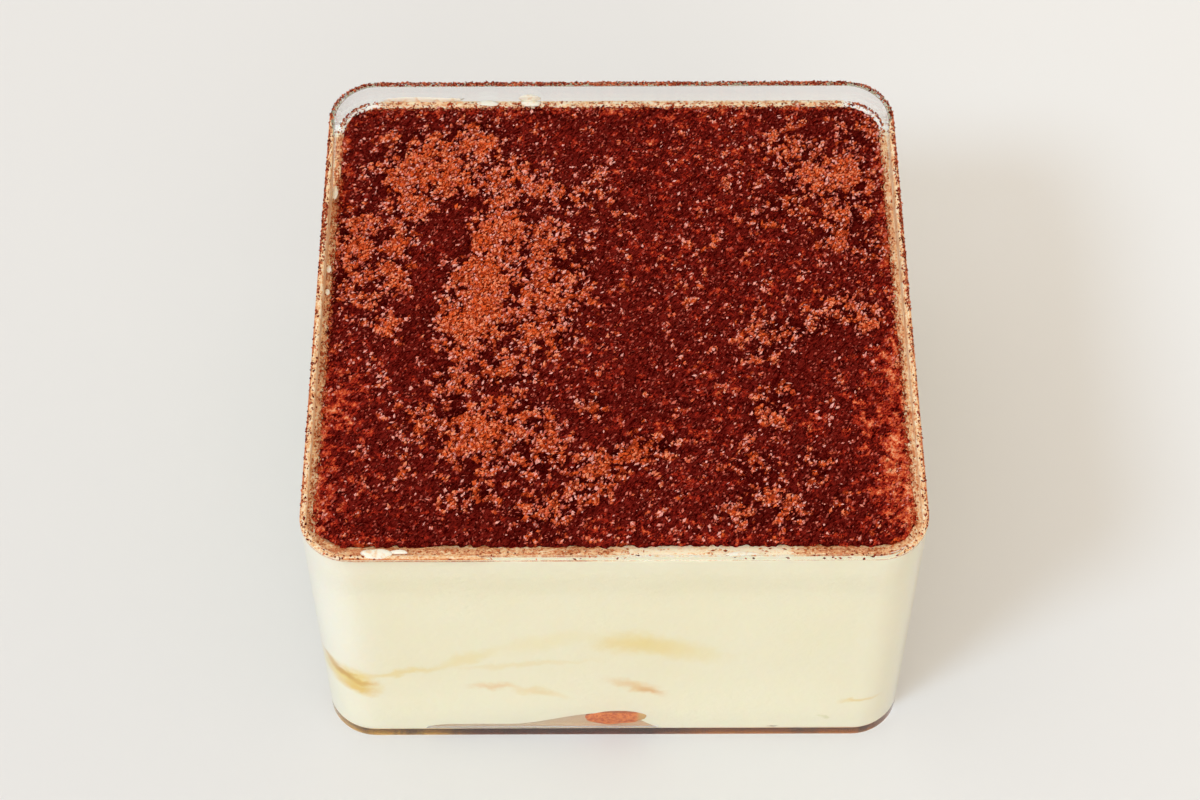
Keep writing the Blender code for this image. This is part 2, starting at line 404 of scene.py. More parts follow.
rim_edges = [e for e in cream_bm.edges if e.is_boundary]
for _ in range(2):
    rim_edges, collar_verts = draw_down(cream_bm, rim_edges)
    for vert in collar_verts:
        widen(vert, COLLAR_REACH / 2)
        vert.co.z = cream_top(*vert.co.xy)
rim_edges, collar_verts = draw_down(cream_bm, rim_edges)
for vert in collar_verts:
    vert.co.z = LEDGE_HEIGHT - INTO_WALL
for step in range(TAPER_STEPS):
    rim_edges, wall_verts = draw_down(cream_bm, rim_edges)
    drawn_in = smooth(step + 1, 0, TAPER_STEPS) - smooth(step, 0, TAPER_STEPS)
    for vert in wall_verts:
        widen(vert, -COLLAR_REACH * drawn_in)
        vert.co.z -= TAPER / TAPER_STEPS
rim_edges, foot_verts = draw_down(cream_bm, rim_edges)
for vert in foot_verts:
    vert.co.z = BASE_THICKNESS - INTO_WALL
base = bmesh.ops.holes_fill(cream_bm, edges=[e for e in cream_bm.edges if e.is_boundary])["faces"]
bevel(cream_bm, [e for f in base for e in f.edges], 0.95 * MM, 4)
wall_edges = [e for e in cream_bm.edges if abs(e.verts[0].co.z - e.verts[1].co.z) > 40 * MM]
bmesh.ops.subdivide_edges(cream_bm, edges=wall_edges, cuts=CREAM_ROWS, use_grid_fill=True)
face_outwards(cream_bm)

# %% [markdown]
# ## The air gap
# At the foot of the front wall the cream doesn't reach the base: a low wedge of air is left, which
# rises to the right until the end of a soaked sponge finger. A ball is drawn out into that wedge,
# and a Boolean cuts it from the cream, which keeps the edge of the gap crisp.

# %% Opening the gap
GAP_LEFT, GAP_RIGHT, GAP_DEPTH = -34.6 * MM, 9.0 * MM, 0.9 * MM
GAP_FLOOR = BASE_THICKNESS + 0.75 * MM


def gap_height(x):
    """The wedge's height above its floor: a low flat start, then a rise to the right."""
    start = smooth(x, GAP_LEFT - 3 * MM, GAP_LEFT + 5 * MM) * 1.5 * MM
    rise = smooth(x, -19 * MM, -2 * MM) * 4.0 * MM
    return (start + rise) * (1 - smooth(x, GAP_RIGHT - 8 * MM, GAP_RIGHT)) + close


gap_bm = bmesh.new()
bmesh.ops.create_uvsphere(gap_bm, u_segments=24, v_segments=72, radius=1)
bmesh.ops.rotate(gap_bm, matrix=Matrix.Rotation(math.pi / 2, 3, "Y"), verts=gap_bm.verts)
for vert in gap_bm.verts:
    along = math.asin(max(min(vert.co.x, 1), -1)) / (math.pi / 2)
    x = GAP_LEFT + (GAP_RIGHT - GAP_LEFT) * (along + 1) / 2
    ring = math.hypot(vert.co.y, vert.co.z) or 1
    tall = gap_height(x) if vert.co.z > 0 else min(gap_height(x), 0.2 * MM)
    vert.co = (x, -LOWER_HALF + vert.co.y / ring * GAP_DEPTH, GAP_FLOOR + vert.co.z / ring * tall)
bmesh.ops.remove_doubles(gap_bm, verts=gap_bm.verts, dist=close / 10)
face_outwards(gap_bm)


def cut_away(piece, bm):
    """Cuts this shape from the piece's mesh."""
    tool = bpy.data.objects.new("tool", bpy.data.meshes.new("tool"))
    bm.to_mesh(tool.data)
    bm.free()
    bpy.context.scene.collection.objects.link(tool)
    cut = piece.modifiers.new("cut", "BOOLEAN")
    cut.operation, cut.solver, cut.object = "DIFFERENCE", "EXACT", tool
    result = bpy.data.meshes.new_from_object(piece.evaluated_get(bpy.context.evaluated_depsgraph_get()))
    piece.modifiers.remove(cut)
    old, piece.data = piece.data, result
    bpy.data.meshes.remove(old)
    bpy.data.objects.remove(tool)


# %% [markdown]
# ## The cream's finish
# The cream is smooth and a little see-through, so light spreads inside it. Where sponge lies close
# behind the front wall, coffee has coloured it: an amber patch at the left corner, a long line that
# rises from it, and pale yellow patches. Near the rim, fine cocoa has mixed into it.

# %% Painting the cream
CREAM_COLOUR = tint(247, 239, 212)
cream_finish, cream_tree, cream_shader = new_finish(
    "whipped mascarpone", 0.42, Subsurface_Weight=0.25, Subsurface_Scale=1.0,
    Subsurface_Radius=(0.9 * MM, 0.6 * MM, 0.35 * MM),
)
FRONT_STAINS = [  # x and z of the middle, half width, half height, turn, colour, strength
    (-46.8, 19.5, 5.4, 3.6, -35, (240, 208, 96), 0.90),
    (-47.6, 21.2, 3.6, 1.2, -52, (216, 160, 44), 0.90),
    (-44.8, 18.6, 2.8, 1.0, 4, (226, 176, 76), 0.80),
    (-45.8, 16.2, 3.4, 2.0, -20, (236, 196, 84), 0.85),
    (-37.5, 22.6, 8.5, 1.2, 16, (240, 214, 130), 0.60),
    (-26.0, 27.5, 7.0, 1.8, 30, (242, 220, 146), 0.45),
    (-16.0, 25.4, 13.0, 1.0, 7, (240, 216, 150), 0.35),
    (-12.0, 33.5, 9.0, 3.0, 22, (243, 224, 158), 0.30),
    (3.0, 32.4, 7.5, 3.6, -6, (241, 212, 122), 0.55),
    (9.0, 31.6, 11.0, 3.6, -22, (242, 218, 138), 0.50),
    (-21.4, 17.7, 4.6, 1.4, 4, (240, 204, 148), 0.70),
    (-13.6, 15.4, 5.6, 1.7, -22, (242, 216, 158), 0.60),
    (4.2, 17.2, 5.6, 1.8, -26, (238, 198, 134), 0.75),
    (6.2, 16.2, 2.4, 1.0, -20, (228, 174, 106), 0.60),
    (44.0, 12.0, 3.4, 0.9, 6, (240, 210, 126), 0.65),
    (38.2, 5.4, 1.0, 1.0, 0, (222, 218, 166), 0.60),
    (28.7, 1.9, 1.1, 0.35, 0, (120, 78, 48), 0.80),
]


def stain(tree, colour, at, mark):
    """Adds one soft mark to the front of the cream."""
    x, z, wide, tall, turn, shade, strength = mark
    turned = node(tree, "ShaderNodeMapping", [
        ("Vector", at), ("Location", (x * MM, 0, z * MM)), ("Rotation", (0, math.radians(-turn), 0)),
        ("Scale", (wide * MM, 1, tall * MM)),
    ], vector_type="TEXTURE")
    reach = node(tree, "ShaderNodeVectorMath", [(0, turned.outputs[0])], operation="LENGTH").outputs["Value"]
    return blend(tree, ramp(tree, reach, 1.35, 0.15, 0.0, strength), colour, tint(*shade))


def stirred(tree, at, size, reach):
    """The same places, pushed about by noise, so that what is drawn there gets a flowing edge."""
    pushed = node(tree, "ShaderNodeVectorMath", [
        (0, speckle(tree, size, 3.0, 0.6, kind="Color", at=at)), (1, (0.5, 0.5, 0.5)),
    ], operation="SUBTRACT")
    scaled = node(tree, "ShaderNodeVectorMath", [(0, pushed.outputs[0]), ("Scale", reach)], operation="SCALE")
    return node(tree, "ShaderNodeVectorMath", [(0, at), (1, scaled.outputs[0])]).outputs[0]


def streaks(tree, at, across):
    """Noise drawn out into thin lines: along X where across is Y, and along Y where it is X."""
    size = (2.6 * MM, 0.36 * MM, 2.0 * MM) if across == "Y" else (0.36 * MM, 2.6 * MM, 2.0 * MM)
    narrow = node(tree, "ShaderNodeMapping", [("Vector", at), ("Scale", tuple(1 / s for s in size))])
    made = node(tree, "ShaderNodeTexNoise", [
        ("Vector", narrow.outputs[0]), ("Scale", 1.0), ("Detail", 3.0), ("Roughness", 0.65)])
    return made.outputs["Fac"]


cream_place = place_of(cream_tree)
split = node(cream_tree, "ShaderNodeSeparateXYZ", [(0, cream_place)])
flat_place = node(cream_tree, "ShaderNodeCombineXYZ", [
    (0, split.outputs[0]), (1, 0.0), (2, split.outputs[2]),
]).outputs[0]
flowing = stirred(cream_tree, flat_place, 4 * MM, 4.5 * MM)
front_colour = blend(
    cream_tree, speckle(cream_tree, 16 * MM, 3.0), tint(248, 241, 216), tint(245, 236, 204))
# The front is painted whiter at its two rounded corners and lighter towards the bottom: painted light.
front_colour = blend(cream_tree, ramp(
    cream_tree, split.outputs[0], -38 * MM, -51 * MM), front_colour, tint(255, 247, 229))
front_colour = blend(cream_tree, ramp(
    cream_tree, split.outputs[2], 26 * MM, 6 * MM, 0.0, 0.7), front_colour, tint(254, 246, 219))
front_colour = blend(cream_tree, ramp(
    cream_tree, split.outputs[0], 40 * MM, 51 * MM, 0.0, 0.8), front_colour, tint(255, 247, 222))
for mark in FRONT_STAINS:
    front_colour = stain(cream_tree, front_colour, flowing, mark)
at_front = ramp(cream_tree, split.outputs[1], -44 * MM, -47 * MM)
wall_colour = blend(cream_tree, at_front, CREAM_COLOUR, front_colour)

# %% [markdown]
# Coffee has run down to the foot of the cream and stains its lowest edge, and the hollow behind the
# air gap is duller than the rest, with painted shadow along its edge. On top, beside the cocoa, thin
# streaks of dust run along the wall.
# How dusty each place is, and where the cream is painted whiter as painted light, comes from an
# attribute that is written into the mesh below.

# %% Painting the foot and the margin
along_x = split.outputs[0]
foot_colour = blend(cream_tree, ramp(cream_tree, along_x, -36 * MM, -24 * MM), tint(255, 190, 70), tint(140, 62, 0))
foot_colour = blend(cream_tree, ramp(cream_tree, along_x, 6 * MM, 20 * MM), foot_colour, tint(220, 126, 0))
foot_colour = blend(cream_tree, ramp(
    cream_tree, speckle(cream_tree, 4 * MM, 4.0, 0.7, at=flat_place), 0.5, 0.62, 0.0, 0.6), foot_colour, tint(92, 30, 0))
in_hollow = maths(cream_tree, "MULTIPLY", maths(cream_tree, "MULTIPLY", at_front, ramp(
    cream_tree, split.outputs[1], -LOWER_HALF + 0.08 * MM, -LOWER_HALF + 0.3 * MM)), ramp(
    cream_tree, maths(cream_tree, "ABSOLUTE", maths(
        cream_tree, "SUBTRACT", split.outputs[0], (GAP_LEFT + GAP_RIGHT) / 2)), 22.5 * MM, 21.8 * MM))
hollow_colour = blend(cream_tree, ramp(cream_tree, along_x, -20 * MM, 4 * MM), tint(202, 174, 136), tint(210, 170, 122))
# A darker line round the edge of the gap is painted shadow.
hollow_edge_shadow = maths(cream_tree, "MULTIPLY", in_hollow, ramp(
    cream_tree, split.outputs[1], -LOWER_HALF + 0.60 * MM, -LOWER_HALF + 0.25 * MM))
wall_colour = blend(cream_tree, in_hollow, wall_colour, hollow_colour)
wall_colour = blend(cream_tree, hollow_edge_shadow, wall_colour, tint(150, 116, 84))
wall_colour = blend(cream_tree, ramp(
    cream_tree, split.outputs[2], BASE_THICKNESS + 0.6 * MM, BASE_THICKNESS + 0.2 * MM), wall_colour, foot_colour)


def dusty_cream(tree, at, dust):
    """Cream with cocoa smeared into it in streaks that run along the wall. dust says how much; below zero the cream is
    painted whiter, which is painted light.
    """
    parts = node(tree, "ShaderNodeSeparateXYZ", [(0, at)])
    lengthwise = ramp(tree, maths(tree, "SUBTRACT", maths(
        tree, "ABSOLUTE", parts.outputs[0]), maths(tree, "ABSOLUTE", parts.outputs[1])), -2 * MM, 2 * MM)
    wavy = stirred(tree, at, 2 * MM, 1.2 * MM)
    streaky = node(tree, "ShaderNodeMix", [
        (0, lengthwise), (2, streaks(tree, wavy, "Y")), (3, streaks(tree, wavy, "X"))]).outputs[0]
    grainy = speckle(tree, 0.42 * MM, 3.0, 0.7)
    dusted = maths(tree, "ADD", maths(tree, "MULTIPLY", streaky, 0.6), maths(
        tree, "ADD", maths(tree, "MULTIPLY", grainy, 0.5), maths(tree, "MULTIPLY", dust, 0.22)))
    # Below zero dust the cream is painted whiter: painted light.
    clean = blend(tree, ramp(tree, dust, 0.0, -0.4), tint(249, 233, 202), tint(255, 250, 238))
    colour = blend(tree, ramp(tree, dusted, 0.56, 0.70), clean, tint(240, 192, 140))
    colour = blend(tree, ramp(tree, dusted, 0.69, 0.80), colour, tint(208, 122, 72))
    return blend(tree, ramp(tree, dusted, 0.83, 0.92), colour, tint(146, 66, 36))


margin_colour = dusty_cream(cream_tree, cream_place, attribute(cream_tree, "dust"))
upward = node(cream_tree, "ShaderNodeSeparateXYZ", [
    (0, node(cream_tree, "ShaderNodeNewGeometry").outputs["Normal"])]).outputs[2]
on_top = maths(cream_tree, "MULTIPLY", ramp(cream_tree, upward, 0.45, 0.75), ramp(
    cream_tree, split.outputs[2], LEDGE_HEIGHT - 3 * MM, LEDGE_HEIGHT - 2 * MM))
cream_tree.links.new(
    blend(cream_tree, on_top, wall_colour, margin_colour), cream_shader.inputs["Base Color"])
bump(cream_tree, cream_shader, speckle(cream_tree, 1.2 * MM, 3.0), 0.1 * MM)
cream = new_piece(cream_bm, "whipped_cream", cream_finish, "cream")
cut_away(cream, gap_bm)


def dustiness(x, y):
    """How much dust lies on the cream beside the cocoa: least in the middle of the front. In the back corners it is
    below zero, where the cream is painted whiter as painted light.
    """
    in_front = smooth(-y, 45 * MM, 50 * MM)
    clean = smooth(x, -4 * MM, 6 * MM) * (1 - smooth(x, 26 * MM, 34 * MM))
    behind = smooth(y, 44 * MM, 50 * MM)
    beside = smooth(abs(x), 47 * MM, 50 * MM) * (1 - in_front) * (1 - behind)
    wet = smooth(y, 0, 30 * MM) if x < 0 else 0.35
    bare_and_painted_light = smooth(y, 42 * MM, 45 * MM) * smooth(abs(x), 42 * MM, 45 * MM)
    return (0.85 - 0.75 * in_front * clean - 0.45 * behind - 0.35 * beside * (1 - wet)) * (1 - bare_and_painted_light) - 0.5 * bare_and_painted_light


dust = cream.data.attributes.new("dust", "FLOAT", "POINT")
dust.data.foreach_set("value", [dustiness(*v.co.xy) for v in cream.data.vertices])
print(f"whipped_cream after the cut: {len(cream.data.polygons)} faces")

# %% [markdown]
# ## The sponge
# The sponge layers are hidden in the cream but for the end of one finger, which touches the front
# wall as an orange-brown oval. A copy of each solid's mesh is merged, cut finer and roughened, and
# the finger's end is drawn out to the wall in the form of that oval.

# %% The sponge layers
TIP_X, TIP_HEIGHT = 0.35 * MM, 5.6 * MM
TIP_HALF_WIDTH, TIP_HALF_HEIGHT = 5.55 * MM, 2.5 * MM


def sponge_piece(solid, name, finish):
    bm = bmesh.new()
    bm.from_mesh(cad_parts[solid].data)
    bmesh.ops.remove_doubles(bm, verts=bm.verts, dist=close)
    bmesh.ops.subdivide_edges(bm, edges=bm.edges[:], cuts=2, use_grid_fill=True)
    bm.normal_update()
    for vert in bm.verts:
        holes = noise.fractal(vert.co / (2.5 * MM), 1.0, 2.0, 3)
        vert.co += vert.normal * 0.12 * MM * holes
    return new_piece(bm, name, finish, solid, sharp=None)


sponge_finish, sponge_tree, sponge_shader = new_finish(
    "coffee-soaked sponge", 0.7, Subsurface_Weight=0.15, Subsurface_Scale=1.0,
    Subsurface_Radius=(0.8 * MM, 0.4 * MM, 0.2 * MM), Specular_IOR_Level=0.1,
)
crumbs = speckle(sponge_tree, 0.8 * MM, 4.0, 0.7)
sponge_colour = blend(sponge_tree, ramp(sponge_tree, crumbs, 0.35, 0.65), tint(204, 88, 28), tint(238, 138, 64))
sponge_place = node(sponge_tree, "ShaderNodeSeparateXYZ", [(0, place_of(sponge_tree))])
edge_line = ramp(sponge_tree, sponge_place.outputs[2], TIP_HEIGHT + 1.5 * MM, TIP_HEIGHT + 2.3 * MM, 0.0, 0.8)
sponge_colour = blend(sponge_tree, edge_line, sponge_colour, tint(158, 84, 36))
pale_end = ramp(sponge_tree, sponge_place.outputs[0], TIP_X + 3.4 * MM, TIP_X + 4.8 * MM, 0.0, 0.9)
sponge_colour = blend(sponge_tree, pale_end, sponge_colour, tint(216, 176, 112))
sponge_tree.links.new(sponge_colour, sponge_shader.inputs["Base Color"])
bump(sponge_tree, sponge_shader, crumbs, 0.12 * MM)
sponge_piece("sponge_upper", "sponge_layer_above", sponge_finish)
sponge_piece("sponge_lower", "sponge_layer_below", sponge_finish)

# %% [markdown]
# The end of the finger is a shallow dome that comes through the cream at the wall.

# %% The finger's end
tip_bm = bmesh.new()
bmesh.ops.create_uvsphere(tip_bm, u_segments=48, v_segments=24, radius=1)
for vert in tip_bm.verts:
    x, y, z = vert.co
    wobble = 1 + 0.10 * noise.noise(Vector((x, z, 0)) * 2.2)
    vert.co = (
        TIP_X + x * wobble * TIP_HALF_WIDTH,
        -LOWER_HALF + (y * 0.35 + (2.5 if y > 0 else 0) * y) * MM,
        TIP_HEIGHT + (z * wobble + 0.12 * x) * TIP_HALF_HEIGHT,
    )
new_piece(tip_bm, "sponge_finger_end", sponge_finish, None, sharp=None)

# %% [markdown]
# ## The cocoa
# Sifted cocoa has taken up moisture from the cream. Most of it is damp, dark maroon and smooth, and
# redder where it is so thin that cream shines through. On it lie drifts of dry cocoa in orange-brown
# crumbs. Where the drifts lie is a short list of ovals, whose edges noise breaks up.

# %% Where the dry drifts and the thin places are
DRIFTS = [  # x, y, half length, half width, turn, amount
    (-32, 35, 9.5, 7, 10, 0.95), (-25.5, 41, 4.5, 5, 0, 0.80), (-36, 39, 5, 5, 0, 0.60),
    (-26, 33, 6, 4, -20, 0.85), (-18, 34, 5, 3, -25, 0.68), (-12, 29.5, 5, 2.8, -20, 0.60),
    (-6, 28.5, 4.5, 3, 0, 0.52), (0.5, 26.5, 3.5, 2, -20, 0.36), (-3, 34, 2.5, 3, 0, 0.34),
    (-36, 26, 3.5, 5, -20, 0.80), (-38.6, 18, 2.6, 6, -12, 0.78), (-40.5, 10, 3, 5, 0, 0.66),
    (-46.2, 18, 3.4, 6, 0, 0.88), (-46, 9, 4, 4, 0, 0.62), (-43.5, 3.5, 3.5, 3, 0, 0.46),
    (-39, -2, 5, 3, 0, 0.42), (-31, -1, 3, 4, 0, 0.45), (-19.5, 26, 3, 5, -10, 0.85),
    (-20.8, 18, 4.5, 7, -8, 1.0), (-22.4, 9, 5.5, 7, -8, 1.0), (-24.6, 0, 5.5, 6.5, -10, 1.0),
    (-26, -7, 4, 4, 0, 0.75), (-12.5, 16, 5, 7, 0, 0.66), (-12, 6, 6.5, 7, 0, 0.70),
    (-12.5, -3, 6, 4.5, 0, 0.66), (-6, 9, 3, 9, 0, 0.46), (-28.5, -15, 3.2, 4, 0, 0.68),
    (-19, -12, 6, 4, 0, 0.52), (-23.5, -26, 6, 5.5, -10, 0.88), (-16, -24, 5.5, 5, 0, 0.66),
    (-32, -23, 4.5, 4.5, 0, 0.42), (-13, -32, 6, 3.5, 0, 0.58), (-3.2, -20, 2.5, 2.6, 0, 0.52),
    (-3.5, -35, 3.4, 6, -35, 0.86), (3.5, -30, 4.2, 2.8, 20, 0.76), (8.5, -28.5, 3, 2.8, 0, 0.52),
    (-6, -39, 4.5, 3, 20, 0.70), (-12, -42, 5.5, 3, 0, 0.64), (-24, -39, 4.6, 2.8, 0, 0.64),
    (-23, -33, 5, 3, 0, 0.46), (-14, -47, 6, 2, 0, 0.38), (-35, -34, 3, 4, 0, 0.26),
    (39.5, 33, 7.2, 4.8, 0, 0.80), (33, 40, 6, 4, 0, 0.50), (46, 43, 4, 4, 0, 0.46),
    (31.5, 26.5, 4.5, 3, 20, 0.52), (27, 23.5, 3.5, 2.5, 0, 0.42), (43, 25, 4.5, 5, 0, 0.60),
    (40.5, 19, 3.6, 4, 0, 0.54), (24, 31, 3, 2.5, 0, 0.26), (46.5, 16, 3, 4, 0, 0.50),
    (29, -3.5, 4.6, 3.4, 0, 0.62), (26, -9, 3.6, 2.4, 0, 0.44), (34, -3.5, 4, 2.2, 15, 0.50),
    (40.5, 1.5, 5.2, 3.4, 20, 0.58), (44.5, -1, 3, 3, 0, 0.48), (29, -17, 3, 2.6, 0, 0.46),
    (26.2, -21.5, 3.4, 3.6, 0, 0.58), (24, -33, 4, 3.6, 0, 0.48), (25, -39, 4.5, 3.2, 0, 0.50),
    (22, -43, 4, 2.6, 0, 0.50), (30, -42.5, 4.6, 2.6, 0, 0.50), (34.5, -33, 3.6, 3.4, 0, 0.42),
    (36, -41, 4, 3, 0, 0.30),
]
THIN_PLACES = [
    (-47.5, -19, 4.5, 9, 0, 1.0), (-46.5, -38, 5, 9, 0, 0.55), (-50, -30, 2.4, 20, 0, 1.3),
    (49.5, -14, 3.4, 9, 0, 1.5), (49, -34, 4.2, 13, 0, 1.65), (46.5, -26, 5.0, 13, 0, 1.1),
    (10, -46.8, 10, 3.0, 0, 0.60), (-2, -45.5, 3, 3, 0, 0.7), (34, -47.5, 12, 2, 0, 0.5),
    (19, -15, 4.5, 4, -20, 0.65), (35, -24, 3.6, 3, 0, 0.7), (10, 16, 5, 7, 0, 0.55),
    (18, 36, 16, 12, 0, 0.40), (17, 47.5, 12, 3, 0, 0.60), (-14, 44, 4, 4, 0, 0.5),
    (0, 50, 48, 1.8, 0, 0.7), (-50, 30, 2.2, 20, 0, 0.8), (26, 8, 14, 10, 0, 0.30),
    (14, -28, 12, 10, 0, 0.30), (-46, -48, 8, 3, 0, 0.7), (50, 25, 2.0, 24, 0, 1.0),
    (-6, -10, 6, 5, 0, 0.3), (44, -44, 5, 4, 0, 0.5),
]


def noise_at(places, size, layer=0.0):
    """Noise from -1 to 1 at each place, with blotches of this size."""
    return np.array([noise.noise(Vector((x / size, y / size, layer))) for x, y in places])


def amount_at(places, ovals):
    """How much of these ovals lies at each place. Each oval fades out softly."""
    found = np.zeros(len(places))
    for x, y, length, width, turn, amount in ovals:
        c, s = math.cos(math.radians(turn)), math.sin(math.radians(turn))
        dx, dy = places[:, 0] / MM - x, places[:, 1] / MM - y
        reach = np.hypot((dx * c + dy * s) / length, (dy * c - dx * s) / width)
        found = np.maximum(found, amount * np.exp(-0.55 * reach ** 2.6))
    return found


def drift_at(places):
    """How likely dry crumbs are here: the ovals, broken up by noise of four sizes."""
    sizes = ((5.5, 0.26), (2.9, 0.36), (1.5, 0.55), (0.85, 0.60))
    return 0.86 * amount_at(places, DRIFTS) + sum(
        share * noise_at(places, size * MM, size) for size, share in sizes)


# %% [markdown]
# The bed is a closed slab: a fine grid that follows the surface, with relief of about a tenth of a
# millimetre, higher in the drifts, and a ragged outline that stops just short of the wall. How dry
# and how thin each place is goes into the mesh as attributes that the finish reads.

# %% The cocoa bed
BED_CELLS = 298
BED_HALF, BED_RADIUS = 50.4 * MM, 6.0 * MM
BED_SQUASH, BED_SHIFT = 49.75 / 50.4, 0.65 * MM
BED_DEPTH = 0.45 * MM

bed_bm = bmesh.new()
bmesh.ops.create_grid(bed_bm, x_segments=BED_CELLS, y_segments=BED_CELLS, size=BED_HALF)
for vert in bed_bm.verts:
    x, y = round_corner(vert.co.x, vert.co.y, BED_HALF, BED_RADIUS)
    vert.co.xy = x, y * BED_SQUASH + BED_SHIFT
bed_places = np.array([v.co.xy for v in bed_bm.verts])
dry = drift_at(bed_places)
thick = amount_at(bed_places, DRIFTS)
thin = amount_at(bed_places, THIN_PLACES)
coarse, middle, fine = (noise_at(bed_places, size * MM, layer) for size, layer in ((2.6, 0), (1.1, 5), (0.5, 9)))
heaped = np.clip((dry - 0.30) / 0.35, 0, 1)
relief = (0.12 * coarse + 0.12 * middle + 0.08 * fine + heaped * (0.16 + 0.10 * fine)) * MM
for vert, (x, y), raised in zip(bed_bm.verts, bed_places, relief):
    vert.co.z = surface(x, y) + raised
for edge in [e for e in bed_bm.edges if e.is_boundary]:
    for vert in edge.verts:
        vert.tag = True
for vert in bed_bm.verts:
    if vert.tag:
        ragged = 0.45 * noise.noise(vert.co / (2.2 * MM)) + 0.50 * noise.noise(vert.co / (0.8 * MM)) - 0.12
        slant = -0.6 * smooth(vert.co.x, 48 * MM, 50 * MM) * smooth(vert.co.y, -20 * MM, 20 * MM)
        vert.co.xy *= 1 + (ragged + slant) * MM / HALF
        vert.co.z = cream_top(*vert.co.xy) + 0.05 * MM
bed_edges, bed_verts = draw_down(bed_bm, [e for e in bed_bm.edges if e.is_boundary])
for vert in bed_verts:
    vert.co.z = surface(*vert.co.xy) - BED_DEPTH
bmesh.ops.holes_fill(bed_bm, edges=bed_edges)
face_outwards(bed_bm)

# %% The damp cocoa's finish
SLANT = math.radians(52)  # the way the sifted grains lean


def damp_cocoa(tree):
    """The colours of damp cocoa and the grain in it, redder where thinness says that it is thin. Its palest pink flecks
    are painted highlights, and it is near black where thickness says drifts lie: painted shade between the crumbs.
    """
    thinness, thickness = (attribute(tree, name) for name in ("thinness", "thickness"))
    slanted = node(tree, "ShaderNodeMapping", [
        ("Vector", place_of(tree)), ("Rotation", (0, 0, SLANT)), ("Scale", (1.0 * MM, 0.34 * MM, 0.5 * MM)),
    ], vector_type="TEXTURE")
    dashes = node(tree, "ShaderNodeTexNoise", [
        ("Vector", slanted.outputs[0]), ("Scale", 1.0), ("Detail", 3.0), ("Roughness", 0.7)]).outputs["Fac"]
    grain = maths(tree, "ADD", maths(tree, "MULTIPLY", dashes, 0.55), maths(
        tree, "MULTIPLY", speckle(tree, 0.6 * MM, 5.0, 0.8), 0.45))
    blotches = speckle(tree, 1.9 * MM, 4.0, 0.7, 0.1)
    colour = blend(tree, ramp(tree, grain, 0.40, 0.60), tint(60, 0, 0), tint(130, 34, 26))
    shift = maths(tree, "SUBTRACT", maths(tree, "MULTIPLY", thinness, 0.17), maths(
        tree, "MULTIPLY", thickness, 0.10))
    mottle = maths(tree, "ADD", shift, maths(
        tree, "ADD", maths(tree, "MULTIPLY", blotches, 1.25), maths(tree, "MULTIPLY", grain, 0.85)))
    colour = blend(tree, ramp(tree, mottle, 1.15, 1.24), colour, tint(172, 44, 28))
    colour = blend(tree, ramp(tree, mottle, 1.26, 1.34), colour, tint(230, 102, 58))
    # The palest pink flecks are painted highlights.
    colour = blend(tree, ramp(tree, mottle, 1.37, 1.45), colour, tint(255, 176, 130))
    # Where drifts lie the cocoa is near black: painted shade in the gaps between crumbs.
    return blend(tree, ramp(tree, thickness, 0.1, 0.55, 0.0, 0.6), colour, tint(48, 0, 0)), grain


def write_attributes(piece, copies=1, **values):
    """Writes a value for each vertex, or for each run of this many vertices."""
    for name, given in values.items():
        layer = piece.data.attributes.new(name, "FLOAT", "POINT")
        padded = np.zeros(len(piece.data.vertices))
        padded[:len(given) * copies] = np.repeat(given, copies)
        layer.data.foreach_set("value", padded)


bed_finish, bed_tree, bed_shader = new_finish("damp cocoa", 0.9, Specular_IOR_Level=0.0)
colour, grain = damp_cocoa(bed_tree)
dryness = attribute(bed_tree, "dryness")
is_dry = ramp(bed_tree, maths(bed_tree, "ADD", dryness, maths(
    bed_tree, "MULTIPLY", speckle(bed_tree, 0.6 * MM, 3.0, 0.7, 0.4), 1.2)), 0.86, 1.05)
# Under the crumbs the dry cocoa goes from near black, which is cocoa tone and painted shade in the gaps, to orange.
dry_colour = blend(bed_tree, ramp(bed_tree, grain, 0.40, 0.60), tint(78, 4, 0), tint(210, 80, 40))
bed_tree.links.new(blend(bed_tree, is_dry, colour, dry_colour), bed_shader.inputs["Base Color"])
bump(bed_tree, bed_shader, speckle(bed_tree, 0.7 * MM, 4.0, 0.75), 0.40 * MM)
bed = new_piece(bed_bm, "cocoa_bed", bed_finish, "cocoa", sharp=None)
write_attributes(bed, dryness=heaped, thinness=thin, thickness=thick)

# %% [markdown]
# ## Loose crumbs
# The dry cocoa lies in splinters of half a millimetre. One crumb is a ball of eight facets, drawn
# out and with its corners pushed about. A few such crumbs are copied thousands of times, each sized
# by chance and leaning the way the cocoa fell, and joined into one mesh for each kind. The random
# numbers start from a fixed seed.

# %% Scattering crumbs
CRUMB_KINDS = 24


def crumb_shapes(rng, flatness):
    """A few crumbs, as corner points and the triangles that they share."""
    bm = bmesh.new()
    bmesh.ops.create_uvsphere(bm, u_segments=4, v_segments=2, radius=0.5)
    ball = np.array([v.co for v in bm.verts])
    faces = np.array([[v.index for v in f.verts] for f in bm.faces])
    bm.free()
    shapes = ball * (1 + rng.uniform(-0.40, 0.40, (CRUMB_KINDS, len(ball), 1)))
    return shapes * rng.uniform(0.75, 1.30, (CRUMB_KINDS, 1, 3)) * (1.55, 0.85, flatness), faces


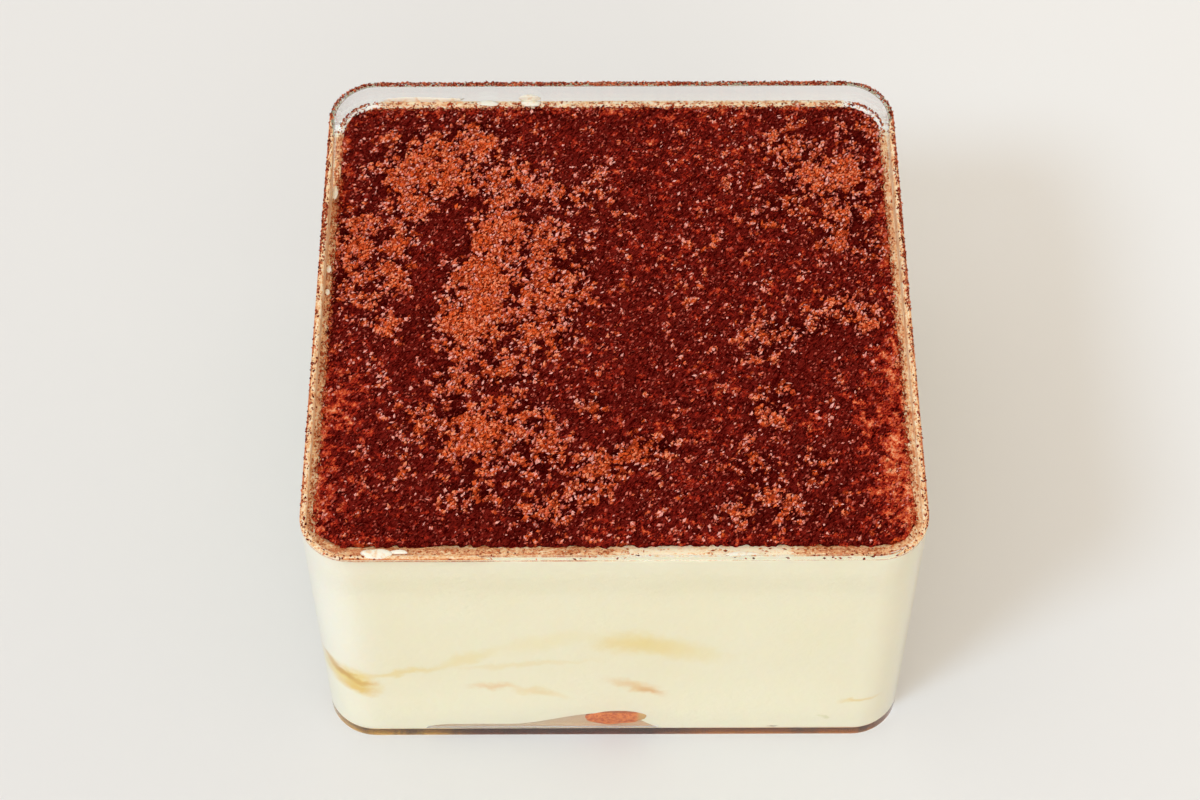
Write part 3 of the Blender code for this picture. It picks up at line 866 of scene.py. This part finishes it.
def scatter(name, places, sizes, finish, seed, flatness=0.9, turns=0.0, spread=0.45):
    """Joins one crumb for each place, which is an array of x, y and z, into one piece."""
    rng = np.random.default_rng(seed)
    shapes, faces = crumb_shapes(rng, flatness)
    kinds = rng.integers(CRUMB_KINDS, size=len(places))
    chosen = shapes[kinds] * sizes[:, None, None]
    spin, lean = turns + rng.normal(0, spread, len(places)), rng.normal(0, 0.35, (2, len(places)))
    c, s = np.cos(spin)[:, None], np.sin(spin)[:, None]
    x, y, z = chosen[..., 0] * c - chosen[..., 1] * s, chosen[..., 0] * s + chosen[..., 1] * c, chosen[..., 2]
    z = z + x * lean[0][:, None] + y * lean[1][:, None]
    points = np.stack([x, y, z], -1) + places[:, None, :]
    corners = faces[None] + (np.arange(len(places)) * shapes.shape[1])[:, None, None]
    mesh = bpy.data.meshes.new(name)
    mesh.from_pydata(points.reshape(-1, 3).tolist(), [], corners.reshape(-1, 3).tolist())
    # The shade attribute is a random tone mixed with painted light: lowest at each crumb's foot, highest on its top.
    shade = mesh.attributes.new("shade", "FLOAT", "POINT")
    raised = np.clip(z / sizes[:, None] + 0.5, 0, 1)
    shade.data.foreach_set("value", (0.6 * rng.uniform(0, 1, (len(places), 1)) + 0.4 * raised).ravel())
    mesh.materials.append(finish)
    piece = bpy.data.objects.new(name, mesh)
    bpy.context.scene.collection.objects.link(piece)
    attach(piece, "root")
    print(f"{name}: {len(places)} crumbs, {len(mesh.polygons)} triangles")
    return piece


def crumb_finish(name, dark, middle, light, roughness=0.9):
    """A crumb's colour goes from dark to light with its shade attribute: a random tone, mixed with painted shade at its
    foot and a painted highlight on its top.
    """
    finish, tree, shader = new_finish(name, roughness, Specular_IOR_Level=0.02)
    shade = attribute(tree, "shade")
    colour = blend(tree, ramp(tree, shade, 0.22, 0.42), dark, middle)
    colour = blend(tree, ramp(tree, shade, 0.54, 0.80), colour, light)
    grit = speckle(tree, 0.25 * MM, 2.0)
    tree.links.new(blend(tree, ramp(tree, grit, 0.6, 0.35, 0.0, 0.4), colour, dark), shader.inputs["Base Color"])
    return finish


# %% The dry crumbs, the pale ones and the dark grains
scatter_rng = np.random.default_rng(7)
CROWDING = 9.5  # candidate places to a square millimetre
MOST_CRUMBS = 24500
spots = scatter_rng.uniform(-BED_HALF, BED_HALF, (round(CROWDING * (2 * BED_HALF / MM) ** 2), 2))
over = np.maximum(np.abs(spots) - BED_HALF + BED_RADIUS, 0)
spots = spots[(np.hypot(over[:, 0], over[:, 1]) < BED_RADIUS - 0.3 * MM)] * (1, BED_SQUASH) + (0, BED_SHIFT)
score = drift_at(spots) + scatter_rng.uniform(-0.18, 0.18, len(spots))


def on_surface(places, lift):
    return np.array([(x, y, surface(x, y) + up) for (x, y), up in zip(places, lift)])


def lay_crumbs(name, places, lifts, sizes, finish, seed):
    """Lays crumbs on the bed, from a random place and size for each."""
    places = places[:MOST_CRUMBS]
    lift, size = (scatter_rng.uniform(*limits, len(places)) * MM for limits in (lifts, sizes))
    return scatter(name, on_surface(places, lift), size, finish, seed, turns=SLANT), places


stray = scatter_rng.random(len(spots))
lay_crumbs("dry_cocoa_crumbs", spots[(score > 0.635) & (stray < 0.8)], (0.05, 0.46), (0.28, 0.68), crumb_finish(
    "dry cocoa", tint(140, 32, 10), tint(230, 98, 44), tint(255, 160, 118)), 11)
# The fringe crumbs' pink light end is a painted highlight on their tops.
lay_crumbs("fringe_cocoa_crumbs", spots[(score > 0.485) & (score <= 0.67) & (stray < 0.7)], (0.05, 0.42), (
    0.26, 0.66), crumb_finish("fringe cocoa", tint(80, 4, 2), tint(228, 106, 72), tint(255, 184, 170)), 14)
# The pale pink crumbs are partly pale cocoa and partly painted highlights.
pale_highlight_spots = spots[((score > 0.32) & (score <= 0.60) & (stray > 0.84)) | (stray > 0.993)]
lay_crumbs("pale_cocoa_highlight_crumbs", pale_highlight_spots, (0.08, 0.38), (0.24, 0.58), crumb_finish(
    "pale cocoa dust with painted highlights", tint(120, 26, 18), tint(222, 116, 98), tint(255, 188, 178)), 12)
dark_finish, dark_tree, dark_shader = new_finish("dark cocoa", 0.9, Specular_IOR_Level=0.0)
dark_colour, _ = damp_cocoa(dark_tree)
grain_tone_and_painted_light = attribute(dark_tree, "shade")
# Each grain is painted near black at its foot and pink on its top: painted shade and painted highlights.
dark_colour = blend(dark_tree, ramp(dark_tree, grain_tone_and_painted_light, 0.45, 0.25, 0.0, 0.8), dark_colour, tint(40, 0, 0))
dark_colour = blend(dark_tree, ramp(dark_tree, grain_tone_and_painted_light, 0.62, 0.85, 0.0, 0.7), dark_colour, tint(206, 100, 84))
dark_tree.links.new(dark_colour, dark_shader.inputs["Base Color"])
dark_spots = spots[(score < 0.44) & (scatter_rng.random(len(spots)) < 0.26)]
dark_grains, dark_spots = lay_crumbs("dark_cocoa_grains", dark_spots, (0.02, 0.20), (0.22, 0.56), dark_finish, 13)
write_attributes(dark_grains, len(dark_grains.data.vertices) // len(dark_spots), thinness=amount_at(
    dark_spots, THIN_PLACES), thickness=amount_at(dark_spots, DRIFTS))

# %% [markdown]
# ## Dust on the rim
# Sifting left a line of dark cocoa on the rim, thick at the back and the sides and nearly missing
# in the middle of the front. A thin dark line of crumbs lies on the ledge in both corners behind.

# %% Scattering along the rim


def around(turn, half, radius):
    """A place on a rounded square's outline, where turn runs from 0 to 1 from the front's middle."""
    straight, arc = 2 * (half - radius), math.pi * radius / 2
    run = turn * 4 * (straight + arc) + straight / 2
    side, along = divmod(run, straight + arc)
    if along < straight:
        x, y = along - straight / 2, -half
    else:
        angle = (along - straight) / radius
        x, y = straight / 2 + radius * math.sin(angle), -half + radius - radius * math.cos(angle)
    for _ in range(int(side) % 4):
        x, y = -y, x
    return x, y


def rim_amount(x, y, inset):
    """How dusty the rim is here, where inset is the distance from its outer edge."""
    outer = 1 - smooth(inset, 0.35 * MM, 0.8 * MM)
    if y > 44 * MM:
        return 1.0 if abs(x) < 44 * MM else 0.1 + 0.9 * outer
    if y < -46 * MM:
        return 0.02 + 0.10 * smooth(abs(x + 2 * MM), 30 * MM, 44 * MM)
    if x > 0:
        return 0.10 + outer * (0.20 + 0.55 * smooth(y, -12 * MM, 8 * MM))
    heaped = smooth(y, 11 * MM, 14 * MM) * (1 - smooth(y, 22 * MM, 25 * MM))
    return 0.10 + 0.9 * heaped + outer * (0.15 + 0.35 * smooth(y, 2 * MM, 12 * MM))


def margin_amount(x, y, inset):
    """How many crumbs lie on the cream beside the cocoa. Most lie close to the cocoa."""
    near_bed = smooth(inset, 1.0 * MM, 2.4 * MM)
    if y > 46 * MM:
        return 0.30 + 0.40 * near_bed
    if y < -46 * MM:
        return (0.15 + 0.5 * near_bed) * dustiness(x, y)
    return 0.75 if x < 0 else 0.12 + 0.45 * near_bed


def in_back_corner(x, y):
    return smooth(abs(x), 44 * MM, 46 * MM) * smooth(y, 44 * MM, 46 * MM)


def outline_amount(x, y, inset):
    """How many crumbs lie at the cocoa's edge: many behind, and none in front."""
    crowd = (0.95 if y > 44 * MM else 0.5) * (1 - 0.8 * in_back_corner(x, y))
    return crowd * smooth(inset, 1.4 * MM, 2.3 * MM) * smooth(y, -47 * MM, -45 * MM)


def edge_dust(name, count, insets, amount, height, sizes, finish, seed):
    """Scatters dust along the wall. amount says how likely a crumb is at a place."""
    rng = np.random.default_rng(seed)
    places, turns = [], []
    for turn, chance in rng.random((count, 2)):
        inset = rng.uniform(*insets) * MM
        x, y = around(turn, HALF - inset, CORNER_RADIUS - inset)
        patchy = 0.8 + 0.7 * noise.noise(Vector((x, y, 0)) / (2.4 * MM))
        if chance < amount(x, y, inset) * patchy:
            places.append((x, y, height(x, y)))
            turns.append(0 if abs(y) > abs(x) else math.pi / 2)
    scatter(name, np.array(places), rng.uniform(*sizes, len(places)) * MM, finish, seed, 0.6, np.array(turns), 0.5)


rim_dust = crumb_finish("rim cocoa dust", tint(60, 6, 4), tint(136, 40, 22), tint(226, 124, 84))
edge_dust("rim_cocoa_dust", 11000, (0.06, 1.0), rim_amount, lambda x, y: RIM_HEIGHT + 0.05 * MM,
          (0.20, 0.45), rim_dust, 22)
edge_dust("corner_dark_lines", 5000, (1.15, 1.6), lambda x, y, inset: 0.9 * in_back_corner(x, y),
          lambda x, y: cream_top(x, y) + 0.05 * MM, (0.20, 0.45), rim_dust, 25)
edge_dust("margin_cocoa_dust", 6500, (1.15, 2.9), margin_amount, lambda x, y: cream_top(x, y) + 0.05 * MM,
          (0.20, 0.46), crumb_finish("margin cocoa dust", tint(116, 46, 22), tint(200, 116, 70), tint(240, 180, 138)), 23)
edge_dust("outline_cocoa_crumbs", 6500, (1.15, 2.9), outline_amount,
          lambda x, y: max(surface(x, y), cream_top(x, y)) + 0.08 * MM,
          (0.24, 0.52), crumb_finish("outline cocoa crumbs", tint(84, 10, 4), tint(184, 70, 36), tint(238, 146, 96)), 24)

# %% [markdown]
# ## The film on the rim
# Where the filling was wiped off, a film of dusty cream was left on top of the rim, along both sides
# and at the left of the front. Each stretch is a ball drawn out along the rim, thinner where noise
# takes some of its width, and its finish is that of the cream's own margin.

# %% The film's stretches
FILMS = [  # where it starts and ends, as turns round the rim from the middle of the front
    (0.112, 0.362), (0.638, 0.952),
]


def film_width(turn, along):
    """The film's width: over the rim and down inside it to the cream, and nothing at its ends."""
    x, y = around(turn, HALF - RIM_WALL, CORNER_RADIUS - RIM_WALL)
    worn = 0.12 * noise.noise(Vector((x, y, 7)) / (3.5 * MM)) + 0.08 * noise.noise(Vector((x, y, 7)) / MM)
    inside = max(RIM_HEIGHT - cream_top(x, y), 0) * smooth(1 - abs(along) + 0.4 * worn, 0.02, 0.30)
    return (RIM_WALL * (0.98 + worn) + inside) * smooth(1 - abs(along), 0, 0.10)


def over_rim(run):
    """Where a path over the rim is after this run: how far in, how high, and which way is out."""
    level, quarter = RIM_WALL - RIM_BEVEL, RIM_BEVEL * math.pi / 2
    angle = min(max(run - level, 0) / RIM_BEVEL, math.pi / 2)
    inset = min(run, level) + RIM_BEVEL * math.sin(angle)
    drop = RIM_BEVEL * (1 - math.cos(angle)) + max(run - level - quarter, 0)
    return inset, -drop, math.sin(angle), math.cos(angle)


film_bm = bmesh.new()
for start, end in FILMS:
    made = bmesh.ops.create_uvsphere(film_bm, u_segments=36, v_segments=220, radius=1)["verts"]
    for vert in made:
        along = math.asin(max(min(vert.co.z, 1), -1)) / (math.pi / 2)
        turn = start + (end - start) * (along + 1) / 2
        ring = math.hypot(vert.co.x, vert.co.y) or 1
        width = film_width(turn % 1, along) if ring < 1.1 else 0
        inset, height, inwards, upwards = over_rim(0.03 * MM + width / 2 * (1 + vert.co.x / ring) + close)
        lift = 0.06 * MM * vert.co.y / ring * min(width / (0.3 * MM), 1)
        inset += lift * inwards
        x, y = around(turn % 1, HALF - inset, CORNER_RADIUS - inset)
        vert.co = (x, y, RIM_HEIGHT + height + lift * upwards)
bmesh.ops.remove_doubles(film_bm, verts=film_bm.verts, dist=close / 10)
face_outwards(film_bm)
film_finish, film_tree, film_shader = new_finish("dusty cream film", 0.5, Specular_IOR_Level=0.2)
film_place = place_of(film_tree)
film_parts = node(film_tree, "ShaderNodeSeparateXYZ", [(0, film_place)])
film_reach = maths(film_tree, "MAXIMUM", *(maths(film_tree, "ABSOLUTE", film_parts.outputs[i]) for i in (0, 1)))
film_dust = maths(film_tree, "ADD", 0.5, ramp(film_tree, film_reach, HALF - 0.5 * MM, HALF - 0.15 * MM, 0.0, 0.5))
film_tree.links.new(dusty_cream(film_tree, film_place, film_dust), film_shader.inputs["Base Color"])
bump(film_tree, film_shader, speckle(film_tree, 0.5 * MM, 3.0), 0.08 * MM)
new_piece(film_bm, "rim_film", film_finish, None, sharp=None)

# %% [markdown]
# ## Smears of cream
# A few smears were left when the tub was filled: on the wall behind, on the ledge below it, on the
# rim in front at the left, and beside the cocoa. Each is a flattened ball with a lumpy surface.

# %% The smears
SMEARS = [  # x, y, height below the rim, half length, half width, half height
    (-15.3, 51.4, 3.3, 1.9, 0.35, 1.0), (-15.1, 50.8, 4.1, 1.8, 0.8, 0.30), (-23.3, 50.9, 4.1, 2.0, 0.7, 0.28),
    (-35.0, 51.45, 3.7, 7.5, 0.22, 0.7), (-39.3, -51.2, 0.0, 2.6, 0.95, 0.26), (-35.6, -50.8, 0.1, 1.5, 0.4, 0.20),
    (-50.9, 28.5, 3.4, 0.50, 1.6, 0.35), (-50.9, 10.2, 2.6, 0.45, 0.8, 0.30), (-50.8, 4.8, 2.3, 0.40, 0.7, 0.30),
    (21.0, -51.2, 0.5, 3.0, 0.45, 0.18),
]
smears_bm = bmesh.new()
for x, y, below, *half in SMEARS:
    made = bmesh.ops.create_icosphere(smears_bm, subdivisions=3, radius=1)["verts"]
    for vert in made:
        vert.co *= 1 + 0.30 * noise.noise(vert.co * 1.3 + Vector((x, y, 0)))
        vert.co = Vector((x, y, 0)) * MM + Vector((0, 0, RIM_HEIGHT - below * MM)) + Vector(c * h for c, h in zip(vert.co, half)) * MM
smear_finish, smear_tree, smear_shader = new_finish(
    "smeared cream", 0.45, Subsurface_Weight=0.25, Subsurface_Scale=1.0,
    Subsurface_Radius=(0.9 * MM, 0.6 * MM, 0.35 * MM),
)
smear_tree.links.new(
    blend(smear_tree, ramp(smear_tree, speckle(smear_tree, 1.1 * MM, 3.0), 0.5, 0.72), tint(250, 244, 226), tint(240, 206, 170)),
    smear_shader.inputs["Base Color"])
bump(smear_tree, smear_shader, speckle(smear_tree, 0.5 * MM, 2.0), 0.1 * MM)
new_piece(smears_bm, "cream_smears", smear_finish, None, sharp=None)
